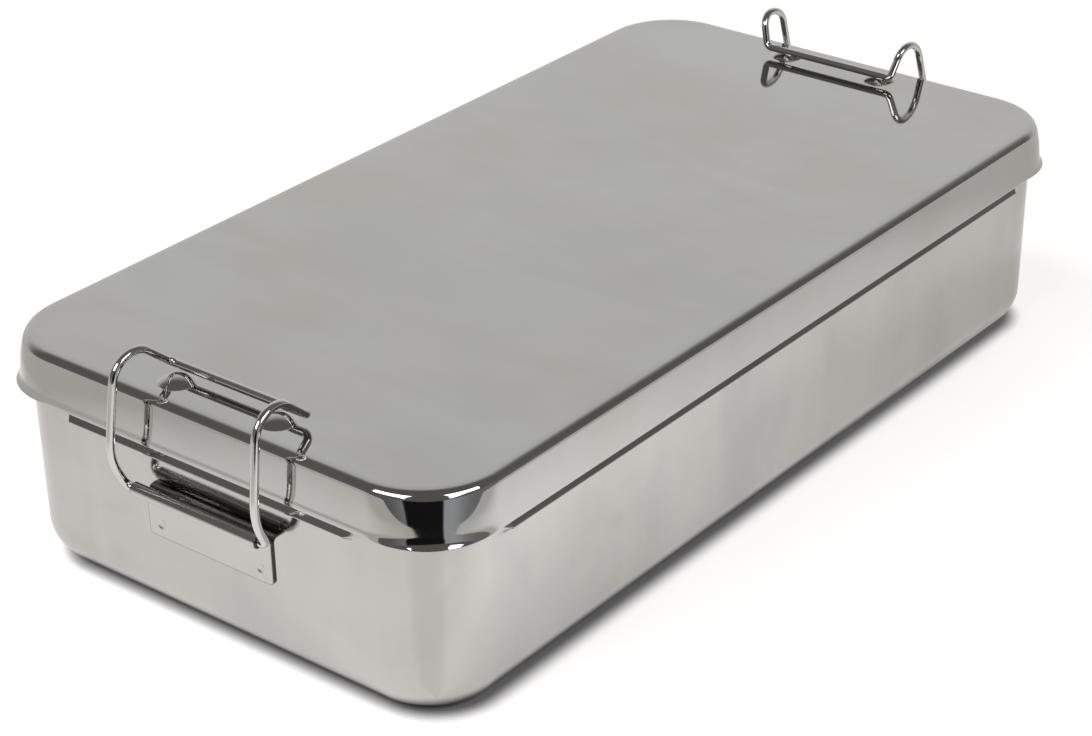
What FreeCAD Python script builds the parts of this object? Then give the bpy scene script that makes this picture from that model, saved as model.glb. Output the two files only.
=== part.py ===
import FreeCAD, Part
import math
import os

from FreeCAD import Vector

# Lid, pressed from one sheet
LID_LENGTH = 300.0            # over the skirt, where it meets the top
LID_WIDTH = 155.5
LID_CORNER = 23.0             # plan radius at the top
LID_TOP = 66.8                # height of the closed container under its bails
LID_SHEET = 0.7
LID_EDGE_RADIUS = 2.4         # outside, where the top turns down into the skirt
SKIRT_DEPTH = 14.3
SKIRT_FLARE = 1.35            # how far the skirt leans out on each side
HEM_LIP = 0.45                # the skirt's edge turns out by this much
HEM_HEIGHT = 1.1

# Dimples that the bails snap over, two at each end of the lid
DIMPLE_RADIUS = 4.5
DIMPLE_RISE = 1.9
DIMPLE_INSET = 10.5           # from the end of the lid to the dimple's centre
DIMPLE_SPACING = 34.6         # across the lid

# Box, deep-drawn from one sheet, with its rim up inside the lid
BOX_SHEET = 0.7
RIM_END_GAP = 0.5             # between rim and skirt at the two ends
RIM_SIDE_GAP = 0.9            # between rim and skirt along the two sides
RIM_HEADROOM = 0.8            # from the rim up to the underside of the lid
WALL_TAPER = 0.6              # each wall leans out by this much over its height
BOX_CORNER = 21.5             # plan radius at the rim
FLOOR_RADIUS = 11.0           # outside, from the floor up into the walls

# Beads pressed outwards just under the lid's hem
BEAD_RADIUS = 2.0
BEAD_GAP = 0.5                # from the bead up to the hem
BEAD_RAMP = 1.2               # run of each end's ramp for one unit of rise
END_BEAD_LENGTH = 99.4
SIDE_BEAD_LENGTH = 243.2

# Hinge plates, welded flat on the end walls and rolled round the wire
PLATE_WIDTH = 43.6
PLATE_SHEET = 0.7
PLATE_DROP = 15.2             # from the barrel's axis down to the plate's edge
PLATE_CORNER = 1.5
PLATE_BEND_RADIUS = 1.2
HINGE_DROP = 12.3             # from the hem down to the barrel's axis
HINGE_STANDOFF = 4.65         # from the wall out to the barrel's axis
CURL_SWEEP = 283.0            # degrees of the roll, open towards the wall
WELD_SPACING = 35.0
WELD_HEIGHT = 4.0             # above the plate's lower edge
WELD_RADIUS = 1.7
WELD_DEPTH = 0.25

# Bails, each bent from one length of spring wire
WIRE_DIAMETER = 2.2
WIRE_SIDES = 12               # flats round the wire, few enough to keep the mesh light
WIRE_RUNNING_FIT = 0.05       # radial, in the barrel
WIRE_END_GAP = 0.6            # the two ends face each other inside the barrel
BAIL_SIDE_PLAY = 0.35         # from the barrel's end to the start of the bend
FOOT_BEND_RADIUS = 2.3
GRIP_LENGTH = 46.4            # the straight run across the lid
GRIP_INBOARD = 3.25           # from the dimples' centres in to the wire
GRIP_SNAP_GAP = 0.5           # from the wire to the dome it rests beside
GRIP_BEND_RADIUS = 2.2
KNEE_STANDOFF = 4.8           # where the leg bows out round the hem
KNEE_DROP = 1.0               # from the hem down to the knee
KNEE_SPREAD = 50.4            # across the two knees
KNEE_BEND_RADIUS = 14.0

# Ears of each bail, the loops that stand above the lid
LEFT_EAR_RISE = 9.65          # from the lid up to the wire's centre
LEFT_EAR_OUTREACH = 3.6       # from the end of the lid out to the loop's corner
LEFT_EAR_INSET = 8.6          # from the grip out to the loop's inner corner
LEFT_EAR_SPREAD = 49.0
LEFT_EAR_BEND_RADIUS = 5.8
RIGHT_EAR_RISE = 12.7
RIGHT_EAR_OUTREACH = -1.0
RIGHT_EAR_INSET = 0.0
RIGHT_EAR_SPREAD = 51.4
RIGHT_EAR_BEND_RADIUS = 5.9

# Levels and radii that follow from the sizes above
HEM = LID_TOP - SKIRT_DEPTH
RIM = LID_TOP - LID_SHEET - RIM_HEADROOM
WIRE_RADIUS = WIRE_DIAMETER / 2
BARREL_BORE = WIRE_RADIUS + WIRE_RUNNING_FIT
BEAD_HEIGHT = HEM - BEAD_GAP - BEAD_RADIUS
DOME_SPHERE = (DIMPLE_RADIUS ** 2 + DIMPLE_RISE ** 2) / (2 * DIMPLE_RISE)
DIMPLE_X = LID_LENGTH / 2 - DIMPLE_INSET
PLATE_FOOT = HEM - HINGE_DROP - PLATE_DROP


def rounded_outline(half_length, half_width, corner, z):
    """A rectangle with round corners, flat at height z."""
    straight_x = half_length - corner
    straight_y = half_width - corner
    edges = []
    for quarter in range(4):
        start = math.radians(90 * quarter)
        cx = straight_x if quarter in (0, 3) else -straight_x
        cy = straight_y if quarter in (0, 1) else -straight_y
        arc = [Vector(cx + corner * math.cos(start + part * math.pi / 4),
                      cy + corner * math.sin(start + part * math.pi / 4), z)
               for part in range(3)]
        edges.append(Part.Arc(*arc).toShape())
    joined = []
    for index, edge in enumerate(edges):
        following = edges[(index + 1) % 4]
        joined.append(edge)
        joined.append(Part.makeLine(edge.lastVertex().Point, following.firstVertex().Point))
    return Part.Wire(joined)


def ruled_block(outlines):
    """A solid whose walls run straight from each outline to the next."""
    return Part.makeLoft(outlines, True, True)


def edges_at(shape, z):
    """The edges of a shape that lie flat at height z."""
    return [edge for edge in shape.Edges
            if abs(edge.BoundBox.ZMin - z) < 1e-4 and abs(edge.BoundBox.ZMax - z) < 1e-4]


def bead_bar(length, radius):
    """A round bar along X whose ends ramp down from its crest to its middle plane."""
    bar = Part.makeCylinder(radius, length, Vector(-length / 2, 0, 0), Vector(1, 0, 0))
    crest = length / 2 - BEAD_RAMP * radius
    outline = [Vector(-length / 2, 0, -radius), Vector(-crest, radius, -radius),
               Vector(crest, radius, -radius), Vector(length / 2, 0, -radius),
               Vector(crest, -radius, -radius), Vector(-crest, -radius, -radius),
               Vector(-length / 2, 0, -radius)]
    ramps = Part.Face(Part.makePolygon(outline)).extrude(Vector(0, 0, 2 * radius))
    return bar.common(ramps)


def half_turn(shape):
    """The same shape at the other end of the container."""
    return shape.rotated(Vector(0, 0, 0), Vector(0, 0, 1), 180)


def lid_outline(z, outset):
    """The skirt's outside at height z, moved out by outset."""
    grown = SKIRT_FLARE * (LID_TOP - z) / SKIRT_DEPTH + outset
    return rounded_outline(LID_LENGTH / 2 + grown, LID_WIDTH / 2 + grown, LID_CORNER + grown, z)


def lid_pan():
    """The lid without its dimples: flat top, flared skirt and turned-out hem."""
    outside = ruled_block([lid_outline(HEM, 0), lid_outline(LID_TOP, 0)])
    outside = outside.makeFillet(LID_EDGE_RADIUS, edges_at(outside, LID_TOP))
    lip = ruled_block([lid_outline(HEM, HEM_LIP), lid_outline(HEM + HEM_HEIGHT, 0)])
    underside = LID_TOP - LID_SHEET
    hollow = ruled_block([lid_outline(HEM - 1, -LID_SHEET), lid_outline(underside, -LID_SHEET)])
    hollow = hollow.makeFillet(LID_EDGE_RADIUS - LID_SHEET, edges_at(hollow, underside))
    return outside.fuse(lip).cut(hollow)


def dimple_centres():
    """The centres of the four domes' spheres."""
    return [Vector(side_x * DIMPLE_X, side_y * DIMPLE_SPACING / 2, LID_TOP + DIMPLE_RISE - DOME_SPHERE)
            for side_x in (-1, 1) for side_y in (-1, 1)]


def lid():
    """The whole lid, with its domes pressed up from inside."""
    above = Part.makeBox(LID_LENGTH, LID_WIDTH, 2 * DIMPLE_RISE,
                         Vector(-LID_LENGTH / 2, -LID_WIDTH / 2, LID_TOP - LID_SHEET / 2))
    domes = [Part.makeSphere(DOME_SPHERE, centre).common(above) for centre in dimple_centres()]
    hollows = [Part.makeSphere(DOME_SPHERE - LID_SHEET, centre) for centre in dimple_centres()]
    return lid_pan().fuse(domes).cut(hollows)


def wall_x(z):
    """How far out the end wall's outside is at height z."""
    return LID_LENGTH / 2 - LID_SHEET - RIM_END_GAP - WALL_TAPER * (1 - z / RIM)


def wall_y(z):
    """How far out the side wall's outside is at height z."""
    return LID_WIDTH / 2 - LID_SHEET - RIM_SIDE_GAP - WALL_TAPER * (1 - z / RIM)


def box_outline(z, inset):
    """The box's outside at height z, moved in by inset."""
    corner = BOX_CORNER - WALL_TAPER * (1 - z / RIM) - inset
    return rounded_outline(wall_x(z) - inset, wall_y(z) - inset, corner, z)


def beads(inset):
    """One bar on each wall at the height of the beads, smaller by inset all over."""
    radius = BEAD_RADIUS - inset
    end_bar = bead_bar(END_BEAD_LENGTH - 2 * inset, radius)
    end_bar.rotate(Vector(0, 0, 0), Vector(0, 0, 1), 90)
    side_bar = bead_bar(SIDE_BEAD_LENGTH - 2 * inset, radius)
    bars = []
    for side in (-1, 1):
        bars.append(end_bar.translated(Vector(side * wall_x(BEAD_HEIGHT), 0, BEAD_HEIGHT)))
        bars.append(side_bar.translated(Vector(0, side * wall_y(BEAD_HEIGHT), BEAD_HEIGHT)))
    return bars


def box_body():
    """The drawn box: tapered walls, round floor edge, hollow beads."""
    outside = ruled_block([box_outline(0, 0), box_outline(RIM, 0)])
    outside = outside.makeFillet(FLOOR_RADIUS, edges_at(outside, 0))
    hollow = ruled_block([box_outline(BOX_SHEET, BOX_SHEET), box_outline(RIM + 1, BOX_SHEET)])
    hollow = hollow.makeFillet(FLOOR_RADIUS - BOX_SHEET, edges_at(hollow, BOX_SHEET))
    shell = outside.fuse(beads(0)).cut(hollow)
    return shell.cut(beads(BOX_SHEET))


def on_wall(out, up):
    """A point in the plane y = 0, measured out from and up along the right end wall."""
    lean = math.atan2(WALL_TAPER, RIM)
    return Vector(wall_x(PLATE_FOOT) + out * math.cos(lean) + up * math.sin(lean), 0,
                  PLATE_FOOT - out * math.sin(lean) + up * math.cos(lean))


def barrel_axis():
    """The middle of the right barrel, where its bail turns."""
    return on_wall(HINGE_STANDOFF, PLATE_DROP)


def wall_arc(out, up, radius, first, last):
    """An arc about a point beside the wall, between two angles in degrees."""
    points = []
    for angle in (first, (first + last) / 2, last):
        turn = math.radians(angle)
        points.append(on_wall(out + radius * math.cos(turn), up + radius * math.sin(turn)))
    return Part.Arc(*points).toShape()


def plate_section():
    """The plate's edge-on outline: up the wall, out, and round the wire."""
    roll = BARREL_BORE + PLATE_SHEET
    bend_out = PLATE_SHEET + PLATE_BEND_RADIUS
    bend_up = PLATE_DROP - roll - PLATE_BEND_RADIUS
    curl_end = CURL_SWEEP - 90
    back_bend = wall_arc(bend_out, bend_up, bend_out, 180, 90)
    bore = wall_arc(HINGE_STANDOFF, PLATE_DROP, BARREL_BORE, -90, curl_end)
    skin = wall_arc(HINGE_STANDOFF, PLATE_DROP, roll, curl_end, -90)
    front_bend = wall_arc(bend_out, bend_up, PLATE_BEND_RADIUS, 90, 180)
    curves = [back_bend, bore, skin, front_bend]
    edges = []
    here = on_wall(0, 0)
    for curve in curves:
        start = curve.valueAt(curve.FirstParameter)
        edges.append(Part.makeLine(here, start))
        edges.append(curve)
        here = curve.valueAt(curve.LastParameter)
    edges.append(Part.makeLine(here, on_wall(PLATE_SHEET, 0)))
    edges.append(Part.makeLine(on_wall(PLATE_SHEET, 0), on_wall(0, 0)))
    return Part.Face(Part.Wire(edges))


def hinge_plate():
    """The right plate with its rolled barrel and the two weld dents."""
    section = plate_section()
    section.translate(Vector(0, -PLATE_WIDTH / 2, 0))
    shape = section.extrude(Vector(0, PLATE_WIDTH, 0))
    foot_corners = [edge for edge in shape.Edges
                    if edge.Length < PLATE_SHEET * 1.01 and edge.BoundBox.ZMax < PLATE_FOOT + 0.1]
    shape = shape.makeFillet(PLATE_CORNER, foot_corners)
    ball = (WELD_RADIUS ** 2 + WELD_DEPTH ** 2) / (2 * WELD_DEPTH)
    dents = []
    for side in (-1, 1):
        centre = on_wall(PLATE_SHEET + ball - WELD_DEPTH, WELD_HEIGHT)
        centre.y = side * WELD_SPACING / 2
        dents.append(Part.makeSphere(ball, centre))
    return shape.cut(dents)


def bent_wire_path(points, radii):
    """Straight runs between the points, each inner point rounded by its radius."""
    edges = []
    here = points[0]
    for index, radius in enumerate(radii, start=1):
        corner = points[index]
        back = (points[index - 1] - corner).normalize()
        ahead = (points[index + 1] - corner).normalize()
        half_turn_angle = (math.pi - back.getAngle(ahead)) / 2
        trim = radius * math.tan(half_turn_angle)
        entry = corner + back * trim
        leave = corner + ahead * trim
        inward = (back + ahead).normalize()
        middle = corner + inward * (radius / math.cos(half_turn_angle) - radius)
        edges.append(Part.makeLine(here, entry))
        edges.append(Part.Arc(entry, middle, leave).toShape())
        here = leave
    edges.append(Part.makeLine(here, points[-1]))
    return Part.Wire(edges)


def wire_end(centre):
    """The wire's cut end, facing along Y, with its corners on the wire's surface."""
    corners = []
    for index in range(WIRE_SIDES + 1):
        turn = math.radians(360 * index / WIRE_SIDES)
        corners.append(centre + Vector(math.cos(turn), 0, math.sin(turn)) * WIRE_RADIUS)
    return Part.makePolygon(corners)


def grip_height():
    """The grip's level: the wire lies on the inner flank of the domes."""
    reach = DOME_SPHERE + WIRE_RADIUS + GRIP_SNAP_GAP
    return LID_TOP + DIMPLE_RISE - DOME_SPHERE + math.sqrt(reach ** 2 - GRIP_INBOARD ** 2)


def bail(ear_rise, ear_outreach, ear_inset, ear_spread, ear_bend_radius):
    """A bail at the right end: barrel run, bowed legs, ears and grip."""
    axis = barrel_axis()
    hem_x = LID_LENGTH / 2 + SKIRT_FLARE + HEM_LIP
    grip_x = DIMPLE_X - GRIP_INBOARD
    foot_y = PLATE_WIDTH / 2 + BAIL_SIDE_PLAY + FOOT_BEND_RADIUS
    ear_z = LID_TOP + ear_rise
    side = [Vector(axis.x, WIRE_END_GAP / 2, axis.z),
            Vector(axis.x, foot_y, axis.z),
            Vector(hem_x + KNEE_STANDOFF, KNEE_SPREAD / 2, HEM - KNEE_DROP),
            Vector(LID_LENGTH / 2 + ear_outreach, ear_spread / 2, ear_z),
            Vector(grip_x + ear_inset, (ear_spread + GRIP_LENGTH) / 4, ear_z),
            Vector(grip_x, GRIP_LENGTH / 2, grip_height())]
    radii = [FOOT_BEND_RADIUS, KNEE_BEND_RADIUS, ear_bend_radius, ear_bend_radius, GRIP_BEND_RADIUS]
    other_side = [Vector(point.x, -point.y, point.z) for point in reversed(side)]
    path = bent_wire_path(side + other_side, radii + radii[::-1])
    return path.makePipeShell([wire_end(side[0])], True, False)


def left_bail():
    """The bail at the left end, with low wide ears."""
    return half_turn(bail(LEFT_EAR_RISE, LEFT_EAR_OUTREACH, LEFT_EAR_INSET,
                          LEFT_EAR_SPREAD, LEFT_EAR_BEND_RADIUS))


def right_bail():
    """The bail at the right end, with taller and narrower ears."""
    return bail(RIGHT_EAR_RISE, RIGHT_EAR_OUTREACH, RIGHT_EAR_INSET,
                RIGHT_EAR_SPREAD, RIGHT_EAR_BEND_RADIUS)


def container():
    """Every piece of the container by name, where it lies when closed."""
    plate = hinge_plate()
    return {
        "box_body": box_body(),
        "lid": lid(),
        "left_hinge_plate": half_turn(plate),
        "right_hinge_plate": plate,
        "left_bail": left_bail(),
        "right_bail": right_bail(),
    }


os.makedirs("parts", exist_ok=True)
for name, piece in container().items():
    piece.exportStep(f"parts/{name}.step")
    print(name, piece.ShapeType, len(piece.Solids), piece.isValid(), round(piece.Volume, 1))
print("barrel axis", barrel_axis(), "grip", DIMPLE_X - GRIP_INBOARD, grip_height())
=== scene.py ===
import math

import bmesh
import bpy
from mathutils import Matrix, Vector


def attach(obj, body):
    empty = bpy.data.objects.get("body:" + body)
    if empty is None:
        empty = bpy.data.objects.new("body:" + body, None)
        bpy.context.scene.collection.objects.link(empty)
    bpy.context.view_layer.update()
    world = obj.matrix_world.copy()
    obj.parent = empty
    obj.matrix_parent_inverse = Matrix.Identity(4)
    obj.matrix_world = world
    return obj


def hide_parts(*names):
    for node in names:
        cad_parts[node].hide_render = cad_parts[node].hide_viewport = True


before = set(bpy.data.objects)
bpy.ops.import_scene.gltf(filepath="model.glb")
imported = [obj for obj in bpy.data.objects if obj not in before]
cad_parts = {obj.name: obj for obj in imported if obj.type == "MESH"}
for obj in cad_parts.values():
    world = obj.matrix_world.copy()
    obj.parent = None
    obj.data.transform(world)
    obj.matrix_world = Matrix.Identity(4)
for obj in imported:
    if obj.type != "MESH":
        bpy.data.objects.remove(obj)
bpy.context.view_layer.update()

MM = 0.001                      # the pieces are drawn in millimetres

# Lid
LID_LENGTH = 300.0
LID_WIDTH = 155.5
LID_CORNER = 23.0
LID_TOP = 66.8
LID_SHEET = 0.7
LID_EDGE_RADIUS = 2.6
LID_CROWN_RUN = 1.5             # gentle start of the turn-down
LID_CROWN_TURN = 7.0
SKIRT_DEPTH = 14.3
SKIRT_LEAN_TOP = 6.0            # degrees off upright
SKIRT_LEAN_LOW = 5.2
SKIRT_ROWS = 30
SKIRT_START = 1.5               # below the lid's top
HEM = LID_TOP - SKIRT_DEPTH
HEM_ROUND = 0.3
HEM_LIP_HEIGHT = 1.2
HEM_LIP_SLOPE = 0.9
HEM_LIP_AT_END = 0.08           # how far the lip turns out along each wall
HEM_LIP_AT_SIDE = 0.0
CORNER_FLARE = 1.2              # the skirt's edge curls out at the corners instead
CORNER_FLARE_HEIGHT = 3.0
CORNER_FLARE_CURVE = 2.2
CORNER_BULGE = 0.8
CORNER_BULGE_DEPTH = 7.0
CORNER_FOCUS = 1.3              # above 1, flare and bulge keep to the middle of a corner
CORNER_STEPS = 40

# Dimples
DIMPLE_RADIUS = 5.2
DIMPLE_RISE = 1.9
DIMPLE_ROOT = 0.8
DIMPLE_CELL = 6.1               # half the square cut out of the flat round each dimple
DIMPLE_X = 139.5
DIMPLE_Y = 17.3

# Box
BOX_HALF_LENGTH = 148.8
BOX_HALF_WIDTH = 76.15
BOX_CORNER = 21.5
BOX_SHEET = 0.7
BOX_TAPER = 0.6
RIM = 65.3
RIM_ROUND = BOX_SHEET / 2
FLOOR_RADIUS = 11.0
BEAD_RISE = 2.0
BEAD_ABOVE = 2.35               # from its crest up to where it meets the wall
BEAD_BELOW = 1.2                # and down
BEAD_HEIGHT = HEM - 0.85 - BEAD_RISE
BEAD_OFFSETS = (0, 0.07, 0.15, 0.25, 0.4, 0.6, 0.8, 1.0, 1.25, 1.5, 1.75, 1.95, 2.1, 2.2, 2.3, 2.4, 2.6)
BEAD_END_RUN = 2.0              # each bead's end is cut off slanting over this length
BEAD_CUT_BAND = 4.0             # the wall is cut there, this far above and below the crest
WALLS_BEYOND = 70.0             # what lies further out than this is wall
END_BEAD_HALF = 49.7
SIDE_BEAD_HALF = 124.0

# Hinge plates
PLATE_WIDTH = 43.6
PLATE_SHEET = 0.7
PLATE_CORNER = 1.5
PLATE_BEND = 1.2
BARREL_BORE = 1.15
BARREL_OUT = 4.65
BARREL_UP = 15.2
CURL_SWEEP = 283.0
PLATE_FOOT = HEM - 12.3 - BARREL_UP
WELD_Y = 17.5
WELD_UP = 4.0
WELD_RADIUS = 1.7
WELD_DEPTH = 0.4
WELD_CELL = 2.6
WELD_ROOT = 0.02
CUT_EDGE = 0.12                 # rounding of the plate's cut edges

# Bails
WIRE_RADIUS = 1.14
WIRE_FACETS = 32
WIRE_START = 0.3                # each end of the wire, off the middle of the barrel
FOOT_BEND = 2.3
GRIP_X = 136.25
GRIP_Z = 69.598
FOOT_Y = PLATE_WIDTH / 2 + 0.35 + FOOT_BEND
# Where each bail turns, as (point, bend radius) for knee, outer ear, inner ear and grip
LOW_EARS = (((158.1, 25.1, 49.6), 19.3), ((155.2, 24.3, 78.0), 7.3),
            ((145.6, 23.9, 77.4), 6.8), ((GRIP_X, 23.8, GRIP_Z), 2.2))
TALL_EARS = (((156.6, 26.2, 51.5), 14.0), ((147.55, 25.65, 78.9), 7.8),
             ((137.9, 25.9, 79.4), 4.3), ((GRIP_X, 23.2, GRIP_Z), 2.2))
LOW_EARS_SWAY = 1.5             # the near bail stands a little off the middle

# Table, in millimetres like the pieces
TABLE_SIZE = 6000
TABLE_GAP = 0.1                 # keeps the table off the box's underside
SHADE_INSIDE = 6.5              # the painted shade under the box fades out from here, inside its edge,
SHADE_OUTSIDE = 0.5             # to here, outside it

# Studio, in metres and degrees
SHADE_SHIFT = (0.0008, -0.0014, 0)   # the painted shade leans away from the back lamp
TABLE_FACING = 230.0            # compass angle that the table's front edge faces
TABLE_END = 0.2765              # where that edge lies, as the metal sees it
DARK_SIDE = 215.5               # compass angle of the darkest part of the room
PALE_SIDE = (40, -10)           # compass angle and height of its palest part
NEAR_CORNER = (-0.143, -0.070, 0)    # the middle of the round of the box's near corner
LIFT_IN_VIEW = 0.58             # the table's own glow: to the camera,
LIFT_IN_METAL = 0.36            # in the metal,
PATCH_IN_METAL = 0.17            # and more in the metal where a patch of painted light lies
TABLE_CLOTH = (0.8, 0.79, 0.775, 1)
# painted shadow colour for the table round the box's foot
SHADED_CLOTH = (0.3, 0.3, 0.31, 1)
# painted dimness: the table's glow in the metal where its light is painted as falling off
PAINTED_DIM_TABLE = (0.65, 0.635, 0.61, 1)
BLACK_ROOM = (0.012, 0.012, 0.013, 1)
FAR_LEFT_ROOM = (0.16, 0.16, 0.165, 1)
LEFT_ROOM = (0.36, 0.37, 0.40, 1)
RIGHT_ROOM = (0.46, 0.475, 0.51, 1)
FAR_RIGHT_ROOM = (0.22, 0.22, 0.225, 1)
PALE_WALL = (0.79, 0.79, 0.775, 1)
DIM_CEILING = (0.16, 0.153, 0.14, 1)
SIDE_CEILING = (0.15, 0.147, 0.14, 1)
BACKDROP = (0.95, 0.95, 0.95, 1)
# painted shade for a hinge plate's cut edge and the faint line beside it
PAINTED_EDGE_SHADE = (0.09, 0.088, 0.085, 1)

# Camera, fitted to the photograph's edges
LENS_MM = 89.61
SENSOR_MM = 36
CAMERA_PLACE = (-0.55763, -0.43437, 0.39221)
CAMERA_BACK = (-0.69156, -0.54931, 0.46904)
CAMERA_RIGHT = (0.62197, -0.78304, 0)
CAMERA_TILT = -0.782


def finished(bm, name):
    """The mesh as an object in metres, shaded smooth."""
    bmesh.ops.scale(bm, vec=(MM, MM, MM), verts=bm.verts)
    for face in bm.faces:
        face.smooth = True
    mesh = bpy.data.meshes.new(name)
    bm.to_mesh(mesh)
    bm.free()
    piece = bpy.data.objects.new(name, mesh)
    bpy.context.scene.collection.objects.link(piece)
    return piece


def keep_flats_flat(piece):
    """Shades each vertex by its largest faces, so that flat sheet looks flat."""
    weighting = piece.modifiers.new("flats", "WEIGHTED_NORMAL")
    weighting.weight = 50
    weighting.keep_sharp = False


def drawn_shell(section, half_length, half_width, corner, corner_steps):
    """A pressed pan: rings of a round-cornered rectangle along a section of (outset, height)."""
    bm = bmesh.new()
    outset, height = section[0]
    bmesh.ops.create_grid(bm, x_segments=1, y_segments=1, size=0.5)
    bmesh.ops.scale(bm, vec=(2 * (half_length + outset), 2 * (half_width + outset), 1), verts=bm.verts)
    bmesh.ops.translate(bm, vec=(0, 0, height), verts=bm.verts)
    bmesh.ops.bevel(bm, geom=bm.verts[:], offset=corner + outset, offset_type="OFFSET", affect="VERTICES",
                    segments=corner_steps, profile=0.5, material=-1)
    cap = list(bm.faces)
    for next_outset, next_height in section[1:]:
        bmesh.ops.inset_region(bm, faces=cap, thickness=outset - next_outset, depth=next_height - height,
                               use_boundary=True, use_even_offset=True)
        outset, height = next_outset, next_height
    open_edges = [edge for edge in bm.edges if edge.is_boundary]
    bmesh.ops.edgeloop_fill(bm, edges=open_edges)
    return bm


def bend(points, heading, end_heading, radius, steps):
    """Adds an arc to a section, turning from one heading to another, in degrees below level."""
    outset, height = points[-1]
    start = math.radians(heading)
    stop = math.radians(end_heading)
    way = math.copysign(1, stop - start)
    for step in range(1, steps + 1):
        angle = start + (stop - start) * step / steps
        points.append((outset + way * radius * (math.sin(angle) - math.sin(start)),
                       height - way * radius * (math.cos(start) - math.cos(angle))))
    return points


def plan_turn(point, half_length, half_width, corner):
    """Degrees round a corner, 0 on an end and 90 on a long side, and the outward direction."""
    across = abs(point.x) - (half_length - corner)
    along = abs(point.y) - (half_width - corner)
    angle = math.atan2(max(along, 0.0), max(across, 0.0))
    outward = Vector((math.copysign(math.cos(angle), point.x), math.copysign(math.sin(angle), point.y), 0))
    return math.degrees(angle), outward


def ease(value, low, high):
    """0 below low, 1 above high, smooth between."""
    part = min(max((value - low) / (high - low), 0.0), 1.0)
    return part * part * (3 - 2 * part)


def lid_section():
    """From the middle of the underside, down inside, round the hem and up to the top."""
    crown_turn = math.radians(LID_CROWN_TURN)
    crown_radius = LID_CROWN_RUN / crown_turn
    reach = crown_radius * math.sin(crown_turn)
    reach += LID_EDGE_RADIUS * (math.cos(math.radians(SKIRT_LEAN_TOP)) - math.sin(crown_turn))
    outside = [(-reach, LID_TOP)]
    bend(outside, 0, LID_CROWN_TURN, crown_radius, 4)
    bend(outside, LID_CROWN_TURN, 90 - SKIRT_LEAN_TOP, LID_EDGE_RADIUS, 16)
    outset, top = outside[-1]
    drop = (top - HEM - HEM_ROUND) / SKIRT_ROWS
    for row in range(1, SKIRT_ROWS + 1):
        part = row / SKIRT_ROWS
        lean = SKIRT_LEAN_TOP + (SKIRT_LEAN_LOW - SKIRT_LEAN_TOP) * min(part * 1.6, 1.0)
        outset += drop * math.tan(math.radians(lean))
        outside.append((outset, top - drop * row))
    inside = [(-reach, LID_TOP - LID_SHEET)]
    bend(inside, 0, 90 - SKIRT_LEAN_TOP, LID_EDGE_RADIUS - LID_SHEET + 0.3, 8)
    inset = outside[-1][0] - LID_SHEET
    hem_start = HEM + HEM_ROUND
    hem_turn = [(inset, hem_start)]
    for step in range(1, 6):
        turn = math.pi * step / 6
        hem_turn.append((inset + LID_SHEET / 2 * (1 - math.cos(turn)),
                         hem_start - HEM_ROUND * math.sin(turn)))
    inner, height = inside[-1]
    lower = [(inner + (inset - inner) * part / 10, height + (hem_start - height) * part / 10)
             for part in range(1, 10)]
    return inside + lower + hem_turn + outside[::-1]


def shape_skirt(bm):
    """Turns the lip out at the hem and fills out the corners, more where the sheet was drawn most."""
    for vert in bm.verts:
        turn, outward = plan_turn(vert.co, LID_LENGTH / 2, LID_WIDTH / 2, LID_CORNER)
        corner = math.sin(math.radians(2 * turn)) ** CORNER_FOCUS
        lip = HEM_LIP_AT_END + (HEM_LIP_AT_SIDE - HEM_LIP_AT_END) * ease(turn, 0, 90)
        above_hem = vert.co.z - HEM
        move = lip * (1 - corner) * (1 - ease(above_hem, HEM_LIP_HEIGHT, HEM_LIP_HEIGHT + HEM_LIP_SLOPE))
        move += CORNER_FLARE * corner * max(1 - above_hem / CORNER_FLARE_HEIGHT, 0.0) ** CORNER_FLARE_CURVE
        fall = min(max((LID_TOP - SKIRT_START - vert.co.z) / CORNER_BULGE_DEPTH, 0.0), 1.0)
        move += CORNER_BULGE * corner * (1 - (1 - fall) ** 2)
        if above_hem < SKIRT_DEPTH - SKIRT_START:
            vert.co += outward * move


def unique(items):
    """Each item once and in the order they come. A set's order would change from run to run."""
    return list(dict.fromkeys(items))


def faces_in_plane(bm, back):
    """The faces that lie flat in a place's own plane, given the way back to it."""
    return [face for face in bm.faces if all(abs((back @ vert.co).z) < 1e-3 for vert in face.verts)]


def with_edges(faces):
    """Faces together with their edges and corners, as bmesh cuts want them."""
    edges = unique(edge for face in faces for edge in face.edges)
    verts = unique(vert for face in faces for vert in face.verts)
    return faces + edges + verts


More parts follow.
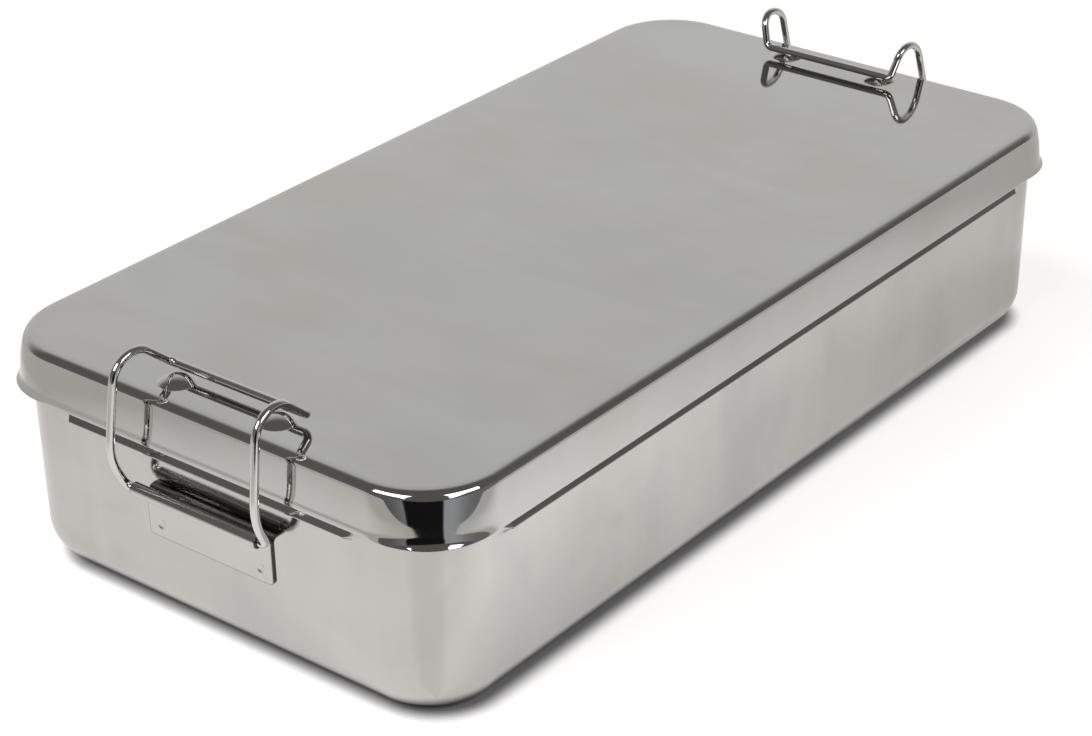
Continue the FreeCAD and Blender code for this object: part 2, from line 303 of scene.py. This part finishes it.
def press(bm, place, cell, rings, facets):
    """Presses a round dome or dent into the flat face at a place: rings are (radius, rise)."""
    back = place.inverted()
    upward = place.to_3x3() @ Vector((0, 0, 1))
    flat = faces_in_plane(bm, back)
    for axis in (0, 1):
        for side in (-1, 1):
            cut = Vector((0, 0, 0))
            cut[axis] = side
            bmesh.ops.bisect_plane(bm, geom=with_edges(flat), dist=1e-5, plane_co=place @ (cut * cell),
                                   plane_no=place.to_3x3() @ cut)
            flat = faces_in_plane(bm, back)
    middle = [face for face in flat if (back @ face.calc_center_bounds()).length < 0.05]
    border = list(middle[0].edges)
    bmesh.ops.delete(bm, geom=middle, context="FACES_ONLY")
    circle = bmesh.ops.create_circle(bm, cap_ends=False, segments=facets, radius=rings[0][0], matrix=place)
    ring = unique(edge for vert in circle["verts"] for edge in vert.link_edges)
    bmesh.ops.triangle_fill(bm, use_beauty=True, edges=border + ring, normal=upward)
    radius, rise = rings[0]
    for next_radius, next_rise in rings[1:]:
        grown = bmesh.ops.extrude_edge_only(bm, edges=ring)["geom"]
        verts = [item for item in grown if isinstance(item, bmesh.types.BMVert)]
        ring = [edge for edge in unique(edge for vert in verts for edge in vert.link_edges)
                if edge.verts[0] in verts and edge.verts[1] in verts]
        scale = next_radius / radius
        bmesh.ops.scale(bm, vec=(scale, scale, 1), space=back, verts=verts)
        bmesh.ops.translate(bm, vec=upward * (next_rise - rise), verts=verts)
        radius, rise = next_radius, next_rise
    bmesh.ops.edgeloop_fill(bm, edges=ring)


def dome_rings(radius, rise, root, steps):
    """A dome's profile from its foot in to its crown, with a rounded root."""
    sphere = (radius * radius + rise * rise) / (2 * rise)
    centre = rise - sphere
    level = math.acos((root - centre) / (sphere + root))
    foot = (sphere + root) * math.sin(level)
    rings = []
    for step in range(5):
        angle = level * step / 4
        rings.append((foot - root * math.sin(angle), root - root * math.cos(angle)))
    for step in range(1, steps):
        angle = level * (1 - step / steps)
        rings.append((sphere * math.sin(angle), centre + sphere * math.cos(angle)))
    return rings


def make_lid():
    """The lid: pan, skirt, hem and four dimples."""
    bm = drawn_shell(lid_section(), LID_LENGTH / 2, LID_WIDTH / 2, LID_CORNER, CORNER_STEPS)
    outer = (LID_TOP, DIMPLE_RADIUS, DIMPLE_RISE)
    inner = (LID_TOP - LID_SHEET, DIMPLE_RADIUS - 0.5, DIMPLE_RISE - 0.1)
    for side_x in (-1, 1):
        for side_y in (-1, 1):
            for height, radius, rise in (outer, inner):
                place = Matrix.Translation((side_x * DIMPLE_X, side_y * DIMPLE_Y, height))
                press(bm, place, DIMPLE_CELL, dome_rings(radius, rise, DIMPLE_ROOT, 12), 56)
    shape_skirt(bm)
    bmesh.ops.recalc_face_normals(bm, faces=bm.faces)
    piece = finished(bm, "pressed_lid")
    keep_flats_flat(piece)
    return piece


def taper(height):
    """How far the wall has leaned in at a height."""
    return -BOX_TAPER * (1 - height / RIM)


def box_section():
    """From the middle of the floor, up outside, over the rim and down to the floor inside."""
    low = taper(FLOOR_RADIUS)
    section = []
    for step in range(13):
        angle = math.radians(90 * step / 12)
        section.append((low - FLOOR_RADIUS * (1 - math.sin(angle)), FLOOR_RADIUS * (1 - math.cos(angle))))
    levels = [12, 18, 24, 30, 36, 42, 45]
    levels += [BEAD_HEIGHT - off for off in BEAD_OFFSETS[:0:-1]] + [BEAD_HEIGHT + off for off in BEAD_OFFSETS]
    levels += [54, 57, 60, RIM - RIM_ROUND]
    for level in levels:
        section.append((taper(level), level))
    for step in range(1, 6):
        angle = math.radians(180 * step / 6)
        section.append((-RIM_ROUND * (1 - math.cos(angle)), RIM - RIM_ROUND + RIM_ROUND * math.sin(angle)))
    inner_levels = [RIM - RIM_ROUND, 60, 56]
    inner_levels += [BEAD_HEIGHT + off for off in BEAD_OFFSETS[:0:-2]]
    inner_levels += [BEAD_HEIGHT - off for off in BEAD_OFFSETS[::2]] + [42, 30, 18]
    for level in inner_levels:
        section.append((taper(level) - BOX_SHEET, level))
    inner_radius = FLOOR_RADIUS - BOX_SHEET
    for step in range(9):
        angle = math.radians(90 * step / 8)
        section.append((low - BOX_SHEET - inner_radius * (1 - math.cos(angle)),
                        BOX_SHEET + inner_radius * (1 - math.sin(angle))))
    return section


def bead_swell(height):
    """How far the bead stands off the wall at a height."""
    off = height - BEAD_HEIGHT
    off = off / BEAD_ABOVE if off > 0 else -off / BEAD_BELOW
    crest = math.sqrt(off * off + 0.01) - 0.1
    return BEAD_RISE * max(1 - crest ** 1.15, 0.0)


def shape_beads(bm):
    """Pushes the beads out on all four walls, with slanting ends."""
    for vert in bm.verts:
        if abs(vert.co.z - BEAD_HEIGHT) > BEAD_ABOVE * 1.1:
            continue
        turn, outward = plan_turn(vert.co, BOX_HALF_LENGTH, BOX_HALF_WIDTH, BOX_CORNER)
        if turn < 45:
            left = END_BEAD_HALF - abs(vert.co.y)
        else:
            left = SIDE_BEAD_HALF - abs(vert.co.x)
        swell = bead_swell(vert.co.z) * min(max(left / BEAD_END_RUN, 0.0), 1.0)
        vert.co += outward * swell


def is_near_bead(middle, axis):
    """Whether a face lies on a wall across the given axis, at the height of its bead."""
    return abs(middle.z - BEAD_HEIGHT) < BEAD_CUT_BAND and abs(middle[axis]) > WALLS_BEYOND


def is_bead_end(middle):
    """Whether a face lies on the slanting end of a bead."""
    if abs(middle.z - BEAD_HEIGHT) > BEAD_ABOVE:
        return False
    if abs(middle.x) > BOX_HALF_LENGTH - 2:
        return END_BEAD_HALF - BEAD_END_RUN < abs(middle.y) < END_BEAD_HALF
    if abs(middle.y) > BOX_HALF_WIDTH - 2:
        return SIDE_BEAD_HALF - BEAD_END_RUN < abs(middle.x) < SIDE_BEAD_HALF
    return False


def make_box():
    """The deep-drawn box, with its rim, floor radius and beads."""
    bm = drawn_shell(box_section(), BOX_HALF_LENGTH, BOX_HALF_WIDTH, BOX_CORNER, CORNER_STEPS)
    for left in (0.0, BEAD_END_RUN):
        for side in (-1, 1):
            for axis, half in ((1, END_BEAD_HALF), (0, SIDE_BEAD_HALF)):
                where = Vector((0, 0, 0))
                where[axis] = side * (half - left)
                upright = [face for face in bm.faces if is_near_bead(face.calc_center_bounds(), 1 - axis)]
                bmesh.ops.bisect_plane(bm, geom=with_edges(upright), dist=1e-5, plane_co=where,
                                       plane_no=where.normalized())
    shape_beads(bm)
    bmesh.ops.recalc_face_normals(bm, faces=bm.faces)
    slants = [face.index for face in bm.faces if is_bead_end(face.calc_center_bounds())]
    piece = finished(bm, "drawn_box")
    for index in slants:
        piece.data.polygons[index].use_smooth = False
    keep_flats_flat(piece)
    return piece


def last_ring(result):
    """The edges at the free end of what was just spun or pulled."""
    geometry = result["geom_last"] if "geom_last" in result else result["geom"]
    verts = {item for item in geometry if isinstance(item, bmesh.types.BMVert)}
    return [item for item in geometry if isinstance(item, bmesh.types.BMEdge)
            and item.verts[0] in verts and item.verts[1] in verts]


def pull(bm, ring, vector):
    """Draws a ring of edges out straight and returns the new ring."""
    result = bmesh.ops.extrude_edge_only(bm, edges=ring)
    verts = [item for item in result["geom"] if isinstance(item, bmesh.types.BMVert)]
    bmesh.ops.translate(bm, vec=vector, verts=verts)
    return last_ring(result)


def roll(bm, ring, centre, axis, degrees, steps):
    """Bends a ring of edges round an axis and returns the new ring."""
    verts = unique(vert for edge in ring for vert in edge.verts)
    result = bmesh.ops.spin(bm, geom=verts + ring, cent=centre, axis=axis,
                            angle=math.radians(degrees), steps=steps)
    return last_ring(result)


def make_plate(side):
    """A hinge plate: flat on the end wall, bent out and rolled round the wire."""
    bm = bmesh.new()
    half = PLATE_SHEET / 2
    bend_out = PLATE_SHEET + PLATE_BEND
    bend_up = BARREL_UP - BARREL_BORE - PLATE_SHEET - PLATE_BEND
    low = [bm.verts.new((half, y, 0)) for y in (-PLATE_WIDTH / 2, PLATE_WIDTH / 2)]
    ring = pull(bm, [bm.edges.new(low)], Vector((0, 0, bend_up)))
    ring = roll(bm, ring, Vector((bend_out, 0, bend_up)), Vector((0, 1, 0)), 90, 8)
    ring = pull(bm, ring, Vector((BARREL_OUT - bend_out, 0, 0)))
    roll(bm, ring, Vector((BARREL_OUT, 0, BARREL_UP)), Vector((0, -1, 0)), CURL_SWEEP, 44)
    bmesh.ops.remove_doubles(bm, verts=bm.verts, dist=1e-4)
    feet = [vert for vert in bm.verts if vert.co.z < 1e-4]
    bmesh.ops.bevel(bm, geom=feet, offset=PLATE_CORNER, offset_type="OFFSET", affect="VERTICES",
                    segments=8, profile=0.5, material=-1)
    ball = (WELD_RADIUS ** 2 + WELD_DEPTH ** 2) / (2 * WELD_DEPTH)
    brim = math.sqrt(ball ** 2 - WELD_RADIUS ** 2) - WELD_ROOT
    dent = [(WELD_RADIUS * 1.15, 0.0), (WELD_RADIUS, -WELD_ROOT)]
    for step in range(1, 8):
        radius = WELD_RADIUS * (1 - step / 8)
        dent.append((radius, brim - math.sqrt(ball ** 2 - radius ** 2)))
    for y in (-WELD_Y, WELD_Y):
        out_of_wall = Matrix(((0, 0, 1, half), (1, 0, 0, y), (0, 1, 0, WELD_UP), (0, 0, 0, 1)))
        press(bm, out_of_wall, WELD_CELL, dent, 32)
    bmesh.ops.recalc_face_normals(bm, faces=bm.faces)
    lean = math.atan2(BOX_TAPER, RIM)
    foot = Vector((BOX_HALF_LENGTH + taper(PLATE_FOOT), 0, PLATE_FOOT))
    stand = Matrix.Translation(foot) @ Matrix.Rotation(lean, 4, "Y")
    if side < 0:
        stand = Matrix.Rotation(math.pi, 4, "Z") @ stand
    bmesh.ops.transform(bm, matrix=stand, verts=bm.verts)
    piece = finished(bm, "rolled_plate_left" if side < 0 else "rolled_plate_right")
    thickness = piece.modifiers.new("sheet", "SOLIDIFY")
    thickness.thickness = PLATE_SHEET * MM
    thickness.offset = 0
    thickness.use_even_offset = True
    edge = piece.modifiers.new("cut_edge", "BEVEL")
    edge.width = CUT_EDGE * MM
    edge.segments = 2
    edge.limit_method = "ANGLE"
    edge.angle_limit = math.radians(50)
    keep_flats_flat(piece)
    return piece


def make_bail(name, side, turns, sway):
    """A bail: one wire pulled and bent from inside the barrel over the lid and back."""
    lean = math.atan2(BOX_TAPER, RIM)
    foot = Vector((BOX_HALF_LENGTH + taper(PLATE_FOOT), 0, PLATE_FOOT))
    axis = foot + Vector((BARREL_OUT * math.cos(lean) + BARREL_UP * math.sin(lean), 0,
                          BARREL_UP * math.cos(lean) - BARREL_OUT * math.sin(lean)))
    half = [Vector((axis.x, WIRE_START, axis.z)), Vector((axis.x, FOOT_Y, axis.z))]
    half += [Vector(point) for point, radius in turns]
    radii = [FOOT_BEND] + [radius for point, radius in turns]
    points = half + [Vector((point.x, -point.y, point.z)) for point in reversed(half)]
    for point in points:
        point.y += sway * ease(point.z, axis.z, LID_TOP)
    radii = radii + radii[::-1]
    bm = bmesh.new()
    facing = (points[1] - points[0]).to_track_quat("Z", "X").to_matrix().to_4x4()
    start = bmesh.ops.create_circle(bm, cap_ends=False, segments=WIRE_FACETS, radius=WIRE_RADIUS,
                                    matrix=Matrix.Translation(points[0]) @ facing)
    ring = unique(edge for vert in start["verts"] for edge in vert.link_edges)
    here = points[0]
    for index, radius in enumerate(radii, start=1):
        heading = (points[index] - points[index - 1]).normalized()
        ahead = (points[index + 1] - points[index]).normalized()
        turn = heading.angle(ahead)
        trim = radius * math.tan(turn / 2)
        entry = points[index] - heading * trim
        inward = (ahead - heading).normalized()
        centre = points[index] + inward * radius / math.cos(turn / 2)
        ring = pull(bm, ring, entry - here)
        ring = roll(bm, ring, centre, heading.cross(ahead), math.degrees(turn),
                    max(6, round(math.degrees(turn) / 5)))
        here = points[index] + ahead * trim
    pull(bm, ring, points[-1] - here)
    bmesh.ops.remove_doubles(bm, verts=bm.verts, dist=1e-4)
    bmesh.ops.holes_fill(bm, edges=[edge for edge in bm.edges if edge.is_boundary])
    bmesh.ops.recalc_face_normals(bm, faces=bm.faces)
    if side < 0:
        bmesh.ops.rotate(bm, cent=(0, 0, 0), matrix=Matrix.Rotation(math.pi, 3, "Z"), verts=bm.verts)
    piece = finished(bm, name)
    keep_flats_flat(piece)
    return piece


class Level:
    """A number that changes over a surface. Sums and products on it add Math nodes."""

    def __init__(self, finish, socket):
        self.finish = finish
        self.socket = socket

    def __add__(self, other):
        return self.finish.maths("ADD", self, other)

    def __radd__(self, other):
        return self.finish.maths("ADD", other, self)

    def __sub__(self, other):
        return self.finish.maths("SUBTRACT", self, other)

    def __rsub__(self, other):
        return self.finish.maths("SUBTRACT", other, self)

    def __mul__(self, other):
        return self.finish.maths("MULTIPLY", self, other)

    def __rmul__(self, other):
        return self.finish.maths("MULTIPLY", other, self)

    def __truediv__(self, other):
        return self.finish.maths("DIVIDE", self, other)


class Finish:
    """A node tree and the one way of adding nodes to it."""

    def __init__(self, owner):
        owner.use_nodes = True
        self.tree = owner.node_tree
        self.tree.nodes.clear()

    def node(self, kind, settings=None, sockets=None):
        node = self.tree.nodes.new(kind)
        for key, value in (settings or {}).items():
            setattr(node, key, value)
        for key, value in (sockets or {}).items():
            if isinstance(value, Level):
                self.tree.links.new(value.socket, node.inputs[key])
            elif isinstance(value, bpy.types.NodeSocket):
                self.tree.links.new(value, node.inputs[key])
            else:
                node.inputs[key].default_value = value
        return node

    def level(self, kind, settings=None, sockets=None, output=0):
        return Level(self, self.node(kind, settings, sockets).outputs[output])

    def maths(self, operation, *values):
        return self.level("ShaderNodeMath", {"operation": operation}, dict(enumerate(values)))

    def vectors(self, operation, first, second):
        return self.node("ShaderNodeVectorMath", {"operation": operation}, {0: first, 1: second}).outputs[0]

    def dot(self, first, second):
        sockets = {0: first, 1: second}
        return self.level("ShaderNodeVectorMath", {"operation": "DOT_PRODUCT"}, sockets, "Value")

    def axes(self, vector):
        """A vector's three parts."""
        apart = self.node("ShaderNodeSeparateXYZ", {}, {"Vector": vector})
        return [Level(self, output) for output in apart.outputs]

    def here(self):
        """Object coordinates."""
        return self.node("ShaderNodeTexCoord").outputs["Object"]

    def past(self, first, second):
        """The square of how far two numbers together lie above zero."""
        first = self.maths("MAXIMUM", first, 0.0)
        second = self.maths("MAXIMUM", second, 0.0)
        return first * first + second * second

    def noise(self, scale, detail, stretch=(1, 1, 1), distortion=0.0):
        place = self.node("ShaderNodeMapping", {}, {"Vector": self.here(), "Scale": stretch}).outputs[0]
        sockets = {"Vector": place, "Scale": scale, "Detail": detail, "Distortion": distortion}
        return self.level("ShaderNodeTexNoise", {}, sockets)

    def between(self, level, low, high):
        """0 below low, 1 above high."""
        return self.level("ShaderNodeMapRange", {"interpolation_type": "SMOOTHSTEP"},
                          {"Value": level, "From Min": low, "From Max": high})

    def mixed(self, factor, first, second):
        """A blend of two colours."""
        node = self.node("ShaderNodeMix", {"data_type": "RGBA"}, {0: factor, 6: first, 7: second})
        return node.outputs[2]


def plate_edge_shade(finish):
    """Where a plate is painted dark as shade: 1 on its cut edge and 0.6 just beside it, 0 elsewhere."""
    across, height = finish.axes(finish.here())[1:]
    corner = PLATE_CORNER * MM
    beside = finish.maths("ABSOLUTE", across) - (PLATE_WIDTH / 2 * MM - corner)
    below = (PLATE_FOOT * MM + corner) - height
    off = finish.maths("SQRT", finish.past(beside, below))
    beside_edge = finish.between(off, corner - 0.4 * MM, corner - 0.08 * MM)
    cut_edge = finish.between(off, corner - 0.06 * MM, corner - 0.01 * MM)
    return beside_edge * 0.6 + cut_edge * 0.4


def polished_steel(name, light, dark, rough, grain, stretch, wave, streaks=0.0, border=None):
    """Stainless steel: cloudy tone, upright streaks, polishing hairlines and a slightly uneven sheet."""
    material = bpy.data.materials.new(name)
    finish = Finish(material)
    clouds = finish.noise(14, 4, (1, 1, 1), 0.4)
    smears = finish.noise(38, 6, (1, 0.4, 1), 1.2)
    hairs = finish.noise(260, 3, stretch)
    fine = finish.noise(900, 2, stretch)
    drawn = finish.noise(55, 3, (1, 1, 0.07), 0.3)
    tone = finish.between(clouds * 0.6 + smears * 0.4 + (drawn - 0.5) * streaks, 0.36, 0.64)
    blush = finish.between(finish.noise(21, 3, (1, 1, 0.5), 0.8), 0.42, 0.62)
    worn = finish.mixed(blush, dark, warm_of(dark))
    colour = finish.mixed(tone, worn, light)
    # painted shade: the colour turns dark along a plate's edges when a border is given
    if border:
        colour = finish.mixed(border(finish), colour, PAINTED_EDGE_SHADE)
    roughness = rough + (clouds - 0.5) * (rough * 0.5) + (smears - 0.5) * (rough * 0.5)
    roughness = roughness + (hairs - 0.5) * grain
    sheet = finish.noise(9, 1)
    height = sheet * wave + hairs * (grain * 0.02) + fine * (grain * 0.012)
    bump = finish.node("ShaderNodeBump", {}, {"Strength": 1.0, "Distance": 0.001, "Height": height})
    shader = finish.node("ShaderNodeBsdfPrincipled", {}, {
        "Base Color": colour, "Metallic": 1.0, "Roughness": roughness, "Normal": bump.outputs[0]})
    finish.node("ShaderNodeOutputMaterial", {}, {"Surface": shader.outputs[0]})
    return material


def warm_of(colour):
    """The same brightness with a faint blush."""
    red, green, blue, alpha = colour
    return red * 1.04, green * 0.985, blue * 0.97, alpha


def direction(azimuth, elevation):
    """A unit vector from a compass angle and a height, in degrees."""
    level = math.cos(math.radians(elevation))
    return Vector((level * math.cos(math.radians(azimuth)), level * math.sin(math.radians(azimuth)),
                   math.sin(math.radians(elevation))))


def softbox(name, azimuth, elevation, distance, width, height, radiance, in_metal):
    """A soft lamp aimed at the container, with the brightness its face shows."""
    lamp = bpy.data.lights.new(name, "AREA")
    lamp.shape = "RECTANGLE"
    lamp.size = width
    lamp.size_y = height
    lamp.energy = radiance * math.pi * width * height
    holder = bpy.data.objects.new(name, lamp)
    holder.location = direction(azimuth, elevation) * distance
    holder.rotation_euler = direction(azimuth, elevation).to_track_quat("Z", "Y").to_euler()
    holder.visible_camera = False
    holder.visible_glossy = in_metal
    bpy.context.scene.collection.objects.link(holder)


def room_tone(finish, towards, beside, length):
    """The dim side of the studio by compass: dark ahead of the table, cooler grey at its sides."""
    ahead = towards / length
    side = beside / length
    left = finish.mixed(finish.between(side, -0.75, -0.2), FAR_LEFT_ROOM, LEFT_ROOM)
    right = finish.mixed(finish.between(side, 0.55, 0.95), RIGHT_ROOM, FAR_RIGHT_ROOM)
    grey = finish.mixed(finish.between(side, -0.05, 0.05), left, right)
    return finish.mixed(finish.between(ahead, 0.9, 0.925), grey, BLACK_ROOM)


def compass_parts(finish, vector, azimuth):
    """How far a vector goes towards an azimuth and beside it, and its level length."""
    flat = finish.vectors("MULTIPLY", vector, (1, 1, 0))
    towards = finish.dot(flat, direction(azimuth, 0))
    beside = finish.dot(flat, direction(azimuth + 90, 0))
    length = finish.level("ShaderNodeVectorMath", {"operation": "LENGTH"}, {0: flat}, "Value")
    return towards, beside, length


def outside_box(finish, where, inset):
    """The square of how far a place on the table lies outside the box's plan, less an inset."""
    along, across = finish.axes(where)[:2]
    return finish.past(finish.maths("ABSOLUTE", along) - (BOX_HALF_LENGTH - inset) * MM,
                       finish.maths("ABSOLUTE", across) - (BOX_HALF_WIDTH - inset) * MM)


def painted_light_falloff(finish, where, ahead):
    """How far the table's glow is painted dim, with shade by the far foot, as the metal sees it."""
    along, across = finish.axes(where)[:2]
    away = outside_box(finish, where, 0.0)
    distant = finish.between(away, 0.05 ** 2, 0.17 ** 2)
    far_end = finish.between(along, 0.0, 0.32) * 0.42
    left_end = finish.between(across, -0.02, 0.16) * finish.between(0 - along, 0.12, 0.17) * 0.3
    corner_stripe = finish.between(ahead, 0.8, 1.0) * 0.26
    far_foot = (1 - finish.between(away, 0.0, 0.04 ** 2)) * finish.between(along, 0.0, 0.16) * 0.6
    return distant + far_end + left_end + corner_stripe + far_foot


def painted_light_patch(finish, where):
    """Where a patch of painted light lies on the table, in front of the long side."""
    along, across = finish.axes(where)[:2]
    strip = finish.between(0 - across, 0.072, 0.105) * (1 - finish.between(0 - across, 0.18, 0.26))
    return strip * finish.between(along, -0.17, -0.08) * (1 - finish.between(along, -0.08, 0.12))


def make_floor():
    """A pale table that ends in front of the container, with the dim room beyond it in reflections."""
    bm = bmesh.new()
    bmesh.ops.create_grid(bm, x_segments=1, y_segments=1, size=TABLE_SIZE)
    bmesh.ops.translate(bm, vec=(0, 0, -TABLE_GAP), verts=bm.verts)
    floor = finished(bm, "table_top")
    material = bpy.data.materials.new("pale_table")
    finish = Finish(material)
    seen = finish.node("ShaderNodeLightPath")
    in_metal = Level(finish, seen.outputs["Is Glossy Ray"])
    in_view = Level(finish, seen.outputs["Is Camera Ray"])
    where = finish.here()
    shifted = finish.vectors("SUBTRACT", where, SHADE_SHIFT)
    # painted shadow: the table's colour and glow darken round the box's foot
    off = finish.maths("SQRT", outside_box(finish, shifted, BOX_CORNER))
    clear = finish.between(off, (BOX_CORNER - SHADE_INSIDE) * MM, (BOX_CORNER + SHADE_OUTSIDE) * MM)
    cloth_with_painted_shade = finish.mixed(clear, SHADED_CLOTH, TABLE_CLOTH)
    table = finish.node("ShaderNodeBsdfDiffuse", {}, {"Color": cloth_with_painted_shade})
    glow = in_view * LIFT_IN_VIEW + in_metal * (LIFT_IN_METAL + painted_light_patch(finish, where) * PATCH_IN_METAL)
    lift = finish.node("ShaderNodeEmission", {}, {"Color": clear * glow, "Strength": 1.0})
    bright = finish.node("ShaderNodeAddShader", {}, {0: table.outputs[0], 1: lift.outputs[0]})
    # painted light falloff: the table's glow turns dim in the metal away from the box
    painted_dim = finish.node("ShaderNodeEmission", {}, {"Color": PAINTED_DIM_TABLE, "Strength": 1.0})
    towards, beside, length = compass_parts(finish, finish.vectors("SUBTRACT", where, NEAR_CORNER), DARK_SIDE)
    painted_falloff = painted_light_falloff(finish, where, towards / length)
    lit = finish.node("ShaderNodeMixShader", {}, {
        0: painted_falloff * in_metal, 1: bright.outputs[0], 2: painted_dim.outputs[0]})
    dim = room_tone(finish, towards, beside, length)
    far = finish.node("ShaderNodeEmission", {}, {"Color": dim, "Strength": 1.0})
    reach = compass_parts(finish, where, TABLE_FACING)[0]
    room = finish.between(reach, TABLE_END - 0.002, TABLE_END + 0.004)
    both = finish.node("ShaderNodeMixShader", {}, {
        0: room * in_metal, 1: lit.outputs[0], 2: far.outputs[0]})
    finish.node("ShaderNodeOutputMaterial", {}, {"Surface": both.outputs[0]})
    floor.data.materials.append(material)


def make_room():
    """The studio round the table: pale behind the container, dim in front of it and overhead."""
    world = bpy.data.worlds.new("studio")
    bpy.context.scene.world = world
    finish = Finish(world)
    where = finish.node("ShaderNodeTexCoord").outputs["Generated"]
    behind = finish.dot(where, direction(*PALE_SIDE))
    ceiling = finish.mixed(finish.between(behind, -0.2, 0.95), DIM_CEILING, PALE_WALL)
    ceiling = finish.mixed(finish.between(behind, 0.15, 0.64), SIDE_CEILING, ceiling)
    towards, beside, length = compass_parts(finish, where, DARK_SIDE)
    height = finish.axes(where)[2]
    low = (1 - finish.between(height, 0.24, 0.34)) * finish.between(towards, -0.3, 0.1)
    colour = finish.mixed(low, ceiling, room_tone(finish, towards, beside, length))
    seen = finish.node("ShaderNodeLightPath")
    shown = finish.mixed(seen.outputs["Is Camera Ray"], colour, BACKDROP)
    background = finish.node("ShaderNodeBackground", {}, {"Color": shown, "Strength": 1.0})
    finish.node("ShaderNodeOutputWorld", {}, {"Surface": background.outputs[0]})


def make_camera():
    """The photograph's viewing angle."""
    lens = bpy.data.cameras.new("view")
    lens.sensor_width = SENSOR_MM
    lens.lens = LENS_MM
    lens.clip_start = 0.01
    lens.clip_end = 50
    holder = bpy.data.objects.new("view", lens)
    tilt = math.radians(CAMERA_TILT)
    back = Vector(CAMERA_BACK).normalized()
    right = Vector(CAMERA_RIGHT).normalized()
    up = back.cross(right)
    turned_right = right * math.cos(tilt) + up * math.sin(tilt)
    turned_up = up * math.cos(tilt) - right * math.sin(tilt)
    facing = Matrix((turned_right, turned_up, back)).transposed().to_4x4()
    holder.matrix_world = Matrix.Translation(CAMERA_PLACE) @ facing
    bpy.context.scene.collection.objects.link(holder)
    bpy.context.scene.camera = holder


lid_steel = polished_steel("lid_steel", (0.52, 0.52, 0.505, 1), (0.485, 0.485, 0.47, 1),
                           rough=0.055, grain=0.012, stretch=(1, 8, 1), wave=0.05)
box_steel = polished_steel("box_steel", (0.545, 0.53, 0.51, 1), (0.475, 0.475, 0.46, 1),
                           rough=0.11, grain=0.03, stretch=(6, 6, 0.6), wave=0.05, streaks=0.4)
plate_steel = polished_steel("plate_steel", (0.56, 0.54, 0.52, 1), (0.51, 0.50, 0.485, 1),
                             rough=0.13, grain=0.02, stretch=(1, 8, 1), wave=0.03, border=plate_edge_shade)
wire_steel = polished_steel("wire_steel", (0.64, 0.63, 0.615, 1), (0.56, 0.555, 0.54, 1),
                            rough=0.07, grain=0.03, stretch=(1, 1, 1), wave=0.03)

lid = make_lid()
box = make_box()
plates = {"left": make_plate(-1), "right": make_plate(1)}
bails = {"left": make_bail("wire_bail_left", -1, LOW_EARS, LOW_EARS_SWAY),
         "right": make_bail("wire_bail_right", 1, TALL_EARS, 0.0)}

fit_out = [(lid, "cover", "lid", "lid_steel", lid_steel),
           (box, "box", "box_body", "box_steel", box_steel)]
for end in ("left", "right"):
    fit_out.append((plates[end], "box", f"{end}_hinge_plate", "plate_steel", plate_steel))
    fit_out.append((bails[end], f"{end}_handle", f"{end}_bail", "wire_steel", wire_steel))
for piece, body, node, slot, material in fit_out:
    piece.data.materials.append(material)
    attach(piece, body)
    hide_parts(node)

make_floor()
make_room()
for name, azimuth in (("front_box", 260), ("left_box", 177)):
    softbox(name, azimuth, elevation=38, distance=1.0, width=0.58, height=0.35, radiance=4.6, in_metal=True)
softbox("back_lamp", 125, elevation=60, distance=1.2, width=0.35, height=0.35, radiance=8.5, in_metal=False)
make_camera()
bpy.context.scene.view_settings.view_transform = "Standard"
